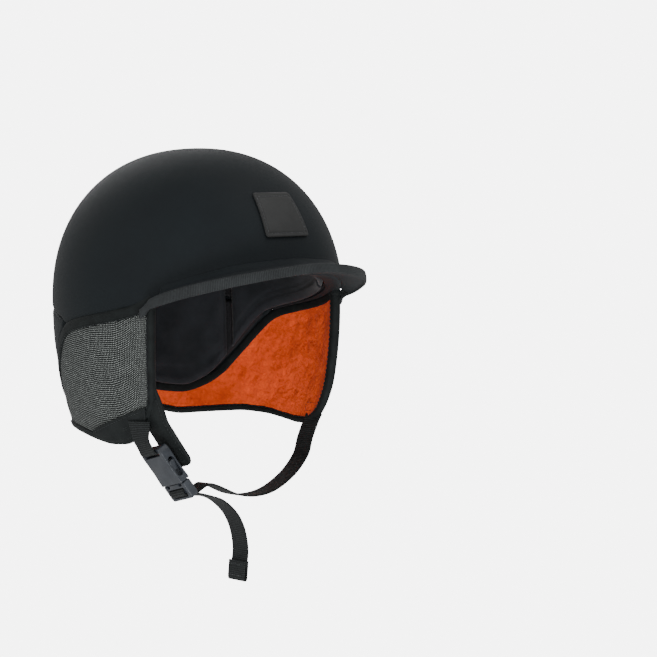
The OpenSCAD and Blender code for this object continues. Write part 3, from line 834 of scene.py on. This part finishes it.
def make_mesh(side):
    turns = FLAP_FRONT + 1.6 + (NAPE_SEAM - FLAP_FRONT - 1.6) * toward_ends(110, 0.3)
    turn, z = spread(turns, cloth_low, cloth_top, 60)
    half = 1.0 * rounded(edge_distance(turn, z), 1.5)
    swell = 0.7 * smoothstep(0.0, 25.0, edge_distance(turn, z))
    piece = panel(f"{side}_mesh_cloth", mirrored(turn, side), z, -1.5 + swell, half, "air_mesh", puckers,
                  slanted=True)
    flex(piece, side, "air_mesh", f"{side}_flap_mesh", f"{side}_nape_mesh")


def wrinkles(turn, z):
    """Soft folds in the fleece, mostly running down and back, over a fine unevenness."""
    points = on_shell(turn, z, 0.0)
    slanted = points * np.array([1.0, 1.0, 0.45])
    fold_a = np.abs(rough(slanted, 17.0, 5.0)) ** 0.8
    crease = np.abs(rough(points * np.array([1.0, 1.0, 2.2]), 26.0, 11.0)) ** 0.6
    return -1.6 * fold_a - 0.9 * crease + 0.5 * rough(points, 5.0, 2.0) + 0.9


def make_lining(side):
    turns = FLAP_FRONT + 1.6 + (180.0 - FLAP_FRONT - 1.6) * toward_ends(150, 0.2)
    turn, z = spread(turns, cloth_low, lambda t: edge(t) - 1.0 - TAPE_W * 0.5, 70)
    half = 1.5 * rounded(edge_distance(turn, z), 2.0)
    fade = smoothstep(0.0, 12.0, edge_distance(turn, z))
    piece = panel(f"{side}_fleece_lining", mirrored(turn, side), z, -4.9 + 0.3 * fade, half, "fleece",
                  lambda t, h: wrinkles(t, h) * fade, slanted=True)
    flex(piece, side, "fleece", f"{side}_flap_lining", "nape_lining")


def make_anchor_box():
    """The rectangle of stitches where the left strap is sewn through the lining."""
    low, high, front, rear = 9.0, 15.5, 67.5, 76.5
    sides = {"low": ([front, rear], [low, low]), "high": ([front, rear], [high, high]),
             "front": ([front, front], [low, high]), "rear": ([rear, rear], [low, high])}
    for where, (t, up) in sides.items():
        turns = np.linspace(*t, 24)
        heights = float(skirt(72.0)) + np.linspace(*up, 24)
        fade = smoothstep(0.0, 12.0, heights - cloth_low(turns))
        off = -6.3 + (0.3 + wrinkles(mirrored(turns, "left"), heights)) * fade
        sewn = shell_stitches(f"left_anchor_stitches_{where}", mirrored(turns, "left"), heights, off,
                              "orange_thread", slanted=True, outwards=False, pitch=2.6, length=1.9,
                              radius=0.28)
        finish_piece(sewn, "fleece", "left_ear_flap")


def make_nape_panel():
    turns = NAPE_SEAM - 0.6 + (2 * (180.0 - NAPE_SEAM) + 1.2) * toward_ends(60, 0.3)
    turn, z = spread(turns, cloth_low, lambda t: edge(t) - 1.0 - TAPE_W * 0.5, 24)
    half = 1.1 * rounded(edge_distance(turn, z), 1.2)
    piece = panel("nape_panel_cloth", turn, z, -1.4, half, "dark_panel", puckers)
    finish_piece(piece, "dark_panel", "helmet", "nape_panel")


def anchor_top(turn):
    """Upper border of the anchor patch: a straight cut that rises towards the front."""
    return -73.0 - 0.62 * (turn - 61.0)


def make_anchor_patch():
    turns = 61.0 + 33.0 * toward_ends(40, 0.4)
    turn, z = spread(turns, lambda t: skirt(t) + 2.6, anchor_top, 24)
    distance = edge_distance(turn, z)
    half = 0.75 * rounded(distance, 1.0) * (0.75 + 0.25 * channel(distance, 2.6, 0.8))
    piece = panel("right_anchor_patch_cloth", turn, z, 1.1, half, "dark_panel", puckers, slanted=True)
    finish_piece(piece, "dark_panel", "right_ear_flap", "right_anchor_patch")
    row = np.linspace(62.5, 92.0, 40)
    tack = np.linspace(70.5, 73.5, 6)
    for name, t, z_line in (("anchor_stitches", row, anchor_top(row) - 2.6),
                            ("anchor_bar_tack_upper", tack, skirt(tack) + 12.0),
                            ("anchor_bar_tack_lower", tack, skirt(tack) + 10.6)):
        sewn = shell_stitches(name, t, z_line, 1.9, "dark_thread", slanted=True, pitch=2.8,
                              length=2.1, radius=0.26)
        finish_piece(sewn, "dark_panel", "right_ear_flap")


# ---------------------------------------------------------------- adjuster

TAB_H, TAB_OFF, TAB_T = 25.0, 2.8, 2.0
TAB_END = 213.5
PEEL_TURN = 197.5


def make_adjuster():
    turns = 156.0 + (TAB_END - 156.0) * toward_ends(120, 0.35)
    bend = np.clip((turns - 206.5) / (TAB_END - 206.5), 0.0, 1.0)
    tall = TAB_H * np.sqrt(1.0 - 0.985 * bend ** 2)
    middle = skirt(turns) + 0.5 + TAB_H / 2
    turn, z = spread(turns, lambda t: middle - tall / 2, lambda t: middle + tall / 2, 24)
    distance = np.minimum(edge_distance(turn, z), 6.0)
    seam = 1.0 - 0.5 * np.exp(-((turn - PEEL_TURN) * MM_PER_DEGREE / 0.7) ** 2)
    half = TAB_T / 2 * rounded(distance, 1.1) * seam
    strip = panel("adjuster_strip", turn, z, TAB_OFF + TAB_T / 2, half, "tab_rubber")
    near = [on_shell(PEEL_TURN + d, -83.0, 3.8) * MM for d in (-1.6, 1.6)]
    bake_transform(strip)
    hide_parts("adjuster_strap", "adjuster_tab")

    turns = 196.0 + 23.0 * toward_ends(24, 0.4)
    turn, z = spread(turns, lambda t: skirt(t) + 1.5, lambda t: skirt(t) + TAB_H - 0.5, 12)
    half = 0.4 * rounded(edge_distance(turn, z), 0.8)
    base = panel("loop_base_pile", turn, z, 1.45, half, "loop_tape")
    finish_piece(base, "loop_tape", "helmet", "loop_base")

    turns = 199.5 + 8.5 * toward_ends(16, 0.4)
    turn, z = spread(turns, lambda t: skirt(t) + 4.5, lambda t: skirt(t) + TAB_H - 3.5, 12)
    half = 0.26 * rounded(edge_distance(turn, z), 0.6)
    hooks = panel("hook_pad_face", turn, z, 2.38, half, "hook_plastic")
    finish_piece(hooks, "hook_plastic", "adjuster_tab", "hook_pad")


# ---------------------------------------------------------------- chin strap

BUCKLE_AT = np.array([-71.3, -62.5, -130.9])
BUCKLE_TURN = [math.radians(a) for a in (156.0, 58.0, -25.0)]
WEB_W, WEB_T = 20.0, 1.5
RIGHT_HINGE = np.array([-92.8, -50.6, -98.0])
LEFT_HINGE = np.array([81.2, -30.0, -105.0])
TAIL_HINGE = np.array([-15.2, -62.0, -172.0])
BAR_X = -29.6
FLAP_WAY = np.array([0.32, -0.95, 0.0])
FRONT_WAY = np.array([0.0, -1.0, 0.0])


def buckle_matrix():
    x, y, z = [Matrix.Rotation(a, 3, k) for a, k in zip(BUCKLE_TURN, "XYZ")]
    return np.array(z @ y @ x)


AXES = buckle_matrix()
BUCKLE_WAY = AXES @ np.array([0.0, 1.0, 0.0])


def from_buckle(p):
    return BUCKLE_AT + np.asarray(p, float) @ AXES.T


def unit(v):
    v = np.asarray(v, float)
    return v / np.linalg.norm(v, axis=-1, keepdims=True)


def bend_line(points, n):
    """A smooth line through points, with n steps between each two."""
    p = np.asarray(points, float)
    out = []
    for i in range(len(p) - 1):
        a, b, c, d = p[max(0, i - 1)], p[i], p[i + 1], p[min(len(p) - 1, i + 2)]
        for s in np.arange(n) / n:
            out.append((2 * b + (c - a) * s + (2 * a - 5 * b + 4 * c - d) * s ** 2
                        + (3 * b - a - 3 * c + d) * s ** 3) / 2)
    return np.array(out + [p[-1]])


def strap(name, line, across, look="webbing", width=WEB_W, thick=WEB_T):
    """Flat webbing along a line, with rounded sides; across gives its width direction."""
    line, across = np.asarray(line, float), unit(across)
    along = unit(np.gradient(line, axis=0))
    face = unit(np.cross(across, along))
    n = 10
    y = width * (toward_ends(n, 0.9) - 0.5)
    selvedge = 0.25 + 0.75 * rounded(width / 2 - np.abs(y), 1.2)
    half = thick / 2 * selvedge * (1.0 - 0.06 * np.cos(y * 2.2))
    loop_y = np.concatenate([y, y[::-1]])
    loop_z = np.concatenate([half, -half[::-1]])
    grid = (line[:, None, :] + across[:, None, :] * loop_y[None, :, None]
            + face[:, None, :] * loop_z[None, :, None])
    m, k = grid.shape[:2]
    run = np.concatenate([[0.0], np.cumsum(np.linalg.norm(np.diff(line, axis=0), axis=1))])
    uv = np.stack(np.broadcast_arrays(run[:, None], loop_y[None, :]), -1)
    faces = grid_faces(m, k, wrap_v=True) + [list(range(k)), list(range((m - 1) * k, m * k))]
    return make(name, grid.reshape(-1, 3), faces, look, uv.reshape(-1, 2))


def way(share):
    return unit(BUCKLE_WAY + (FRONT_WAY - BUCKLE_WAY) * np.minimum(1.0, share)[:, None])


def crossing(piece, slot, a, b, hinge, down, *nodes):
    """Bakes the piece's placement into its mesh and hides the CAD nodes it stands in for."""
    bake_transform(piece)
    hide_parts(*nodes)


def make_straps():
    over = 8.6 / 2 + 1.4
    line = bend_line([RIGHT_HINGE + [-0.4, 1.5, 14.0], RIGHT_HINGE + [-0.2, 0.7, 7.0], RIGHT_HINGE,
                      from_buckle([BAR_X - 5.0, 0, over - 0.5]), from_buckle([BAR_X, 0, over]),
                      from_buckle([BAR_X + 2.6, 0, 1.5]), from_buckle([BAR_X + 2.6, 0, -1.5])], 8)
    share = np.clip(np.arange(len(line)) / 20.0, 0.0, 1.0)[:, None]
    right = strap("right_strap_webbing", line, unit(FLAP_WAY) * (1.0 - share) + BUCKLE_WAY * share)
    crossing(right, "webbing", "right_ear_flap", "right_chin_strap", RIGHT_HINGE,
             line[24] - line[8], "right_strap_root", "right_webbing")

    line = bend_line([from_buckle([14.9, 0, -6.4]), [-53, -65, -137], [-45, -62, -135],
                      [-34, -57.5, -138], [-11, -51, -147.5], [11, -46, -151.5], [33, -42, -149.5],
                      [57, -37, -140], [74, -33, -127], [81, -31, -114],
                      on_shell(288.0, -101.0, -5.2), on_shell(288.3, -95.0, -3.4)], 8)
    left = strap("left_strap_webbing", line, way(4.0 * np.arange(len(line)) / 80.0))
    crossing(left, "webbing", "left_ear_flap", "left_chin_strap", LEFT_HINGE, [0, 0, -1.0],
             "left_strap_root", "left_webbing")

    line = bend_line([from_buckle([14.9, 0, -4.6]), [-53, -65, -142.5], [-44, -63, -144.5],
                      [-35, -62, -148], [-27, -62, -154], [-20, -62, -162], TAIL_HINGE,
                      [-13, -62, -182], [-12.5, -62, -190], [-13.5, -62, -197], [-15.2, -62, -203]], 8)
    tail = strap("tail_webbing", line, way(3.0 * np.arange(len(line)) / 48.0))
    crossing(tail, "webbing", "left_chin_strap", "strap_tail", TAIL_HINGE, [0, 0, -1.0],
             "upper_tail", "strap_tail")
    make_tail_fold()

    line = bend_line([from_buckle([x, 0, z]) for x, z in (
        (5.8, -3.0), (5.8, 2.6), (6.6, 4.3), (8.3, 4.9), (10.0, 4.3), (10.8, 2.6), (10.8, -3.0))], 6)
    held = strap("lock_webbing_loop", line, np.repeat(BUCKLE_WAY[None, :], len(line), 0))
    finish_piece(held, "webbing", "buckle_plug", "lock_webbing")


def make_tail_fold():
    """The strap's end, turned back twice on itself and sewn."""
    tilt = np.array(Matrix.Rotation(math.radians(8.0), 3, "Y"))
    at = np.array([-14.6, -62.0, -197.4]) + tilt @ np.array([0.0, 0.0, -7.5])
    flat = [(-1.35, 6.8), (-1.35, 0.0), (-1.3, -5.6), (-0.75, -7.6), (0.55, -8.0), (1.45, -7.0),
            (1.55, -4.0), (1.55, 2.0), (1.5, 7.0)]
    line = bend_line([at + tilt @ np.array([x, 0.0, z]) for x, z in flat], 6)
    fold_piece = strap("tail_fold_webbing", line, np.repeat(FRONT_WAY[None, :], len(line), 0),
                       width=WEB_W + 0.8, thick=1.35)
    finish_piece(fold_piece, "webbing", "strap_tail", "tail_fold")
    for row, z in (("upper", 4.0), ("lower", -4.5)):
        ends = [at + tilt @ np.array([-2.05, y, z]) for y in (-8.0, 8.0)]
        sewn = stitches(f"tail_stitches_{row}", np.linspace(ends[0], ends[1], 12),
                        np.repeat((tilt @ np.array([-1.0, 0, 0]))[None, :], 12, 0), "grey_thread",
                        pitch=2.4, length=1.7, radius=0.24)
        finish_piece(sewn, "webbing", "strap_tail")


# ---------------------------------------------------------------- buckle


def round_outline(corners, radii, steps=7):
    """A closed outline through corners in order, each rounded to its radius."""
    points = []
    count = len(corners)
    for i, (corner, r) in enumerate(zip(corners, radii)):
        c = np.array(corner, float)
        a = unit(np.array(corners[i - 1]) - c)
        b = unit(np.array(corners[(i + 1) % count]) - c)
        half = math.acos(float(np.clip(a @ b, -1.0, 1.0))) / 2
        start, end = c + a * r / math.tan(half), c + b * r / math.tan(half)
        centre = c + unit(a + b) * r / math.sin(half)
        for s in np.linspace(0.0, 1.0, steps):
            points.append(centre + unit((start - centre) * (1 - s) + (end - centre) * s) * r)
    return np.array(points)


def moulded(outline, low, high, soften, segments=3):
    """An extruded outline in the buckle's frame with its upper and lower edges rounded, in mm."""
    bm = bmesh.new()
    face = bm.faces.new([bm.verts.new((x, y, low)) for x, y in outline])
    extruded = bmesh.ops.extrude_face_region(bm, geom=[face])["geom"]
    for v in extruded:
        if isinstance(v, bmesh.types.BMVert):
            v.co.z = high
    bmesh.ops.recalc_face_normals(bm, faces=bm.faces)
    if soften:
        rims = [e for e in bm.edges if abs(e.verts[0].co.z - e.verts[1].co.z) < 1e-6]
        bmesh.ops.bevel(bm, geom=rims, offset=soften, segments=segments, profile=0.5,
                        affect="EDGES", clamp_overlap=True)
    return bm


def as_object(name, bm):
    mesh = bpy.data.meshes.new(name)
    bm.to_mesh(mesh)
    bm.free()
    made = bpy.data.objects.new(name, mesh)
    bpy.context.scene.collection.objects.link(made)
    return made


def turned_oval(x0, x1, r, width):
    """An oval slot through the sides: long along x, round in z, right through along y."""
    outline = round_outline([(x0 - r, -r), (x1 + r, -r), (x1 + r, r), (x0 - r, r)], [r * 0.98] * 4, 9)
    bm = moulded(outline, -width / 2, width / 2, 0.0)
    bmesh.ops.rotate(bm, verts=bm.verts, matrix=Matrix.Rotation(math.radians(90.0), 3, "X"))
    return bm


def box_cutter(x0, x1, width, thick, r=0.8):
    w = width / 2
    return moulded(round_outline([(x0, -w), (x1, -w), (x1, w), (x0, w)], [r] * 4, 5),
                   -thick / 2, thick / 2, 0.0)


def carve(name, body, cutters, body_name, soften=0.25):
    """Cuts holes in a moulded body, softens the new edges and puts it at the buckle's place."""
    piece = as_object(name, body)
    for k, cutter in enumerate(cutters):
        tool = as_object(f"{name}_cut_{k}", cutter)
        cut = piece.modifiers.new("cut", "BOOLEAN")
        cut.operation, cut.object, cut.solver = "DIFFERENCE", tool, "EXACT"
    dg = bpy.context.evaluated_depsgraph_get()
    mesh = bpy.data.meshes.new_from_object(piece.evaluated_get(dg))
    for k in range(len(cutters)):
        bpy.data.objects.remove(bpy.data.objects[f"{name}_cut_{k}"])
    piece.modifiers.clear()
    bm = bmesh.new()
    bm.from_mesh(mesh)
    bmesh.ops.remove_doubles(bm, verts=bm.verts, dist=0.01)
    bmesh.ops.dissolve_limit(bm, angle_limit=math.radians(1.0), verts=bm.verts, edges=bm.edges)
    sharp = [e for e in bm.edges if e.is_manifold and e.calc_face_angle(0.0) > math.radians(50.0)]
    bmesh.ops.bevel(bm, geom=sharp, offset=soften, segments=2, profile=0.5, affect="EDGES",
                    clamp_overlap=True)
    bmesh.ops.triangulate(bm, faces=[f for f in bm.faces if len(f.verts) > 4])
    bmesh.ops.scale(bm, vec=(MM, MM, MM), verts=bm.verts)
    place = Matrix.Translation(Vector(BUCKLE_AT * MM)) @ Matrix(AXES.tolist()).to_4x4()
    bmesh.ops.transform(bm, matrix=place, verts=bm.verts)
    bm.to_mesh(piece.data)
    bm.free()
    bpy.data.meshes.remove(mesh)
    piece.data.materials.clear()
    piece.data.materials.append(MATERIALS["buckle_plastic"])
    if "cloth" not in piece.data.uv_layers:
        piece.data.uv_layers.new(name="cloth")
    piece.data.shade_smooth()
    piece.data.set_sharp_from_angle(angle=math.radians(32.0))
    return finish_piece(piece, "buckle_plastic", body_name)


def make_buckle():
    half = 14.5
    outline = round_outline(
        [(-31.0, -half + 1.6), (-27.0, -half + 0.3), (-12.0, -half + 0.9), (-2.0, -half), (0.0, -half),
         (0.0, half), (-2.0, half), (-12.0, half - 0.9), (-27.0, half - 0.3), (-31.0, half - 1.6)],
        [1.6, 4.0, 12.0, 1.6, 0.5, 0.5, 1.6, 12.0, 4.0, 1.6], 5)
    socket = carve("buckle_socket_body", moulded(outline, -4.3, 4.3, 1.5, 4),
                   [box_cutter(-22.0, 1.0, 23.2, 5.8), box_cutter(BAR_X + 1.1, BAR_X + 4.3, 21.4, 12.0),
                    turned_oval(-18.4, -7.0, 2.7, 32.0)], "right_chin_strap")
    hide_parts("buckle_socket")

    outline = round_outline([(0.4, -half), (12.0, -half), (14.5, -half + 1.2), (14.5, half - 1.2),
                             (12.0, half), (0.4, half)], [1.7, 3.0, 1.7, 1.7, 3.0, 1.7], 5)
    cutters = [box_cutter(4.4, 7.2, 21.4, 12.0), box_cutter(9.4, 12.2, 21.4, 12.0)]
    for side in (-1, 1):
        notch = round_outline([(-1.0, side * 8.6 - 2.4), (2.9, side * 8.6 - 2.4),
                               (2.9, side * 8.6 + 2.4), (-1.0, side * 8.6 + 2.4)],
                              [0.3, 1.6, 1.6, 0.3], 6)
        cutters.append(moulded(notch, -6.0, 6.0, 0.0))
    plug = carve("buckle_plug_base", moulded(outline, -3.6, 3.6, 1.0, 3), cutters, "buckle_plug")
    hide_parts("buckle_plug")
    tongue = round_outline([(-18.0, -2.2), (1.0, -2.2), (1.0, 2.2), (-18.0, 2.2)],
                           [1.0, 0.4, 0.4, 1.0], 5)
    carve("buckle_plug_tongue", moulded(tongue, -2.2, 2.2, 0.7), [], "buckle_plug")

    for name, side in (("front", 1.0), ("rear", -1.0)):
        outer = [(1.6, 10.2), (-1, 9.8), (-7, 11), (-11, 11.8), (-15, 12.9), (-17.4, 13.7)]
        inner = [(-18.4, 13.2), (-18.4, 12), (-15, 10.3), (-11, 9.2), (-7, 8.5), (-1, 7.7), (1.6, 7.0)]
        path = np.array(outer + inner) * [1.0, side]
        prong = carve(f"{name}_prong_arm", moulded(path, -2.5, 2.5, 0.6), [], f"{name}_prong")
        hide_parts(f"{name}_prong")


# ---------------------------------------------------------------- chin tab


def make_chin_tab():
    """A soft padded tongue that grows out of the right flap's hem and lies behind the buckle."""
    line = bend_line([on_shell(62.6, -54.0, -3.4), on_shell(62.0, -67.0, -4.2),
                      from_buckle([-47.0, 8.0, -11.2]), from_buckle([-34.0, 6.2, -11.1]),
                      from_buckle([-20.0, 5.0, -11.1]), from_buckle([-6.0, 4.4, -11.1])], 14)
    share = smoothstep(0.0, 34.0, np.arange(len(line)))[:, None]
    flap_front = on_shell(62.0, -76.0, -3.0) - on_shell(66.0, -76.0, -3.0)
    across = unit(unit(flap_front) * (1.0 - share) + BUCKLE_WAY * share)
    along = unit(np.gradient(line, axis=0))
    face = unit(np.cross(across, along))
    left = np.linalg.norm(np.diff(line, axis=0), axis=1)[::-1].cumsum()[::-1]
    left = np.concatenate([left, [0.0]])
    root_w, tip_w = 14.0, 29.0
    wide = root_w + (tip_w - root_w) * smoothstep(2.0, 30.0, np.arange(len(line)))
    radius = 8.5
    inside = np.maximum(0.0, radius - left)
    half_w = np.minimum(wide / 2.0, wide / 2.0 - radius + np.sqrt(radius ** 2 - inside ** 2) + 0.2)
    n = 26
    y = 2.0 * toward_ends(n, 0.9) - 1.0
    border = np.minimum(half_w[:, None] * (1.0 - np.abs(y)), left[:, None] + 0.05)
    half = 1.6 * rounded(border, 2.0) * (0.78 + 0.22 * channel(border, 3.4, 0.9))
    outer = (line[:, None, :] + across[:, None, :] * (half_w[:, None] * y)[..., None]
             + face[:, None, :] * half[..., None])
    inner = outer - 2.0 * face[:, None, :] * half[..., None]
    tab = two_sided("chin_tab_tongue", outer, inner, "dark_panel")
    finish_piece(tab, "dark_panel", "right_ear_flap", "chin_tab")
    for where, side in (("front", 1.0), ("rear", -1.0)):
        keep = left > 9.0
        path = line + across * (side * (half_w - 3.4))[:, None]
        for surface, sign in (("outer", 1.0), ("inner", -1.0)):
            sewn = stitches(f"chin_tab_stitches_{where}_{surface}", (path + face * sign * 1.3)[keep][8:],
                            (face * sign)[keep][8:], "dark_thread", pitch=3.0, length=2.1, radius=0.22)
            finish_piece(sewn, "dark_panel", "right_ear_flap")


# ---------------------------------------------------------------- stage, light and camera


def make_stage():
    """A pale floor that curves up into a pale round wall and roof. It is seen but gives no light."""
    floor_z, radius, rise, curve = -1.2, 7.0, 6.0, 2.0
    bend = np.radians(np.linspace(0.0, 90.0, 12))
    profile = [(0.0, floor_z)] + [(radius - curve + curve * math.sin(a),
                                   floor_z + curve - curve * math.cos(a)) for a in bend]
    profile += [(radius, rise), (0.6 * radius, rise + 2.0), (0.0, rise + 3.0)]
    count = 48
    verts = [(r * math.cos(a), r * math.sin(a), z)
             for a in np.radians(np.arange(count) * 360.0 / count) for r, z in profile]
    mesh = bpy.data.meshes.new("studio_floor")
    mesh.from_pydata(verts, [], grid_faces(count, len(profile), wrap_u=True))
    mesh.shade_smooth()
    floor = bpy.data.objects.new("studio_floor", mesh)
    bpy.context.scene.collection.objects.link(floor)
    pale = bpy.data.materials.new("pale_paper")
    pale.use_nodes = True
    shader = pale.node_tree.nodes["Principled BSDF"]
    shader.inputs["Base Color"].default_value = (0.0, 0.0, 0.0, 1.0)
    shader.inputs["Specular IOR Level"].default_value = 0.0
    shader.inputs["Emission Color"].default_value = (1.0, 1.0, 1.0, 1.0)
    shader.inputs["Emission Strength"].default_value = FLOOR_GLOW
    mesh.materials.append(pale)
    floor.visible_diffuse = floor.visible_glossy = floor.visible_shadow = False


def make_world():
    world = bpy.data.worlds.new("studio")
    bpy.context.scene.world = world
    world.use_nodes = True
    background = world.node_tree.nodes["Background"]
    background.inputs["Color"].default_value = (1.0, 1.0, 1.0, 1.0)
    background.inputs["Strength"].default_value = WORLD_GLOW


def softbox(name, place, size, power):
    light = bpy.data.lights.new(name, "AREA")
    light.shape = "DISK"
    light.size = size
    light.energy = power
    lamp = bpy.data.objects.new(name, light)
    lamp.location = place
    lamp.rotation_mode = "QUATERNION"
    lamp.rotation_quaternion = (-Vector(place)).to_track_quat("-Z", "Y")
    bpy.context.scene.collection.objects.link(lamp)


CAMERA_AZ, CAMERA_EL, CAMERA_DISTANCE = math.radians(-40.0), math.radians(3.0), 1.5
CAMERA_ROLL = math.radians(2.0)   # the whole view leans a little
CAMERA_LENS, SENSOR = 103.1, 36.0
AIM_RIGHT, AIM_UP = 0.105, -0.0207  # metres from the origin to the middle of the view
FLOOR_GLOW, WORLD_GLOW = 6.2, 0.75


def make_camera():
    back = Vector((math.sin(CAMERA_AZ) * math.cos(CAMERA_EL),
                   -math.cos(CAMERA_AZ) * math.cos(CAMERA_EL), math.sin(CAMERA_EL)))
    right = Vector((math.cos(CAMERA_AZ), math.sin(CAMERA_AZ), 0.0))
    up = back.cross(right)
    right, up = (right * math.cos(CAMERA_ROLL) - up * math.sin(CAMERA_ROLL),
                 up * math.cos(CAMERA_ROLL) + right * math.sin(CAMERA_ROLL))
    aim = right * AIM_RIGHT + up * AIM_UP
    data = bpy.data.cameras.new("camera")
    data.lens, data.sensor_width = CAMERA_LENS, SENSOR
    camera = bpy.data.objects.new("camera", data)
    camera.location = aim + back * CAMERA_DISTANCE
    camera.rotation_mode = "QUATERNION"
    roll = Matrix.Rotation(-CAMERA_ROLL, 3, back)
    camera.rotation_quaternion = (roll @ (-back).to_track_quat("-Z", "Y").to_matrix()).to_quaternion()
    bpy.context.scene.collection.objects.link(camera)
    bpy.context.scene.camera = camera


make_camera()
make_world()
make_stage()
softbox("key_light", (0.5, -1.0, 1.9), 1.6, 16.0)
softbox("side_light", (-1.9, 0.2, 0.9), 1.4, 8.0)
softbox("rear_light", (0.6, 1.8, 1.2), 1.4, 9.0)
softbox("front_light", (-1.5, -1.5, 0.1), 1.0, 10.0)
softbox("inner_light", (-0.55, -1.1, -0.75), 0.5, 14.0)

make_crown()
make_rear_lobe()
make_crown_pad()
make_pad("front_pad_cushion", -47.0, 47.0, "front_pad")
make_pad("right_pad_cushion", 50.0, 121.0, "right_pad")
make_pad("left_pad_cushion", 239.0, 310.0, "left_pad")
make_pad("rear_pad_cushion", 124.0, 236.0, "rear_pad")
make_brim()
make_brim_tape()
make_patch()
make_edge_tape()
for flap_side in ("right", "left"):
    make_flap_tape(flap_side)
    make_mesh(flap_side)
    make_lining(flap_side)
make_nape_panel()
make_anchor_patch()
make_anchor_box()
make_adjuster()
make_straps()
make_buckle()
make_chin_tab()
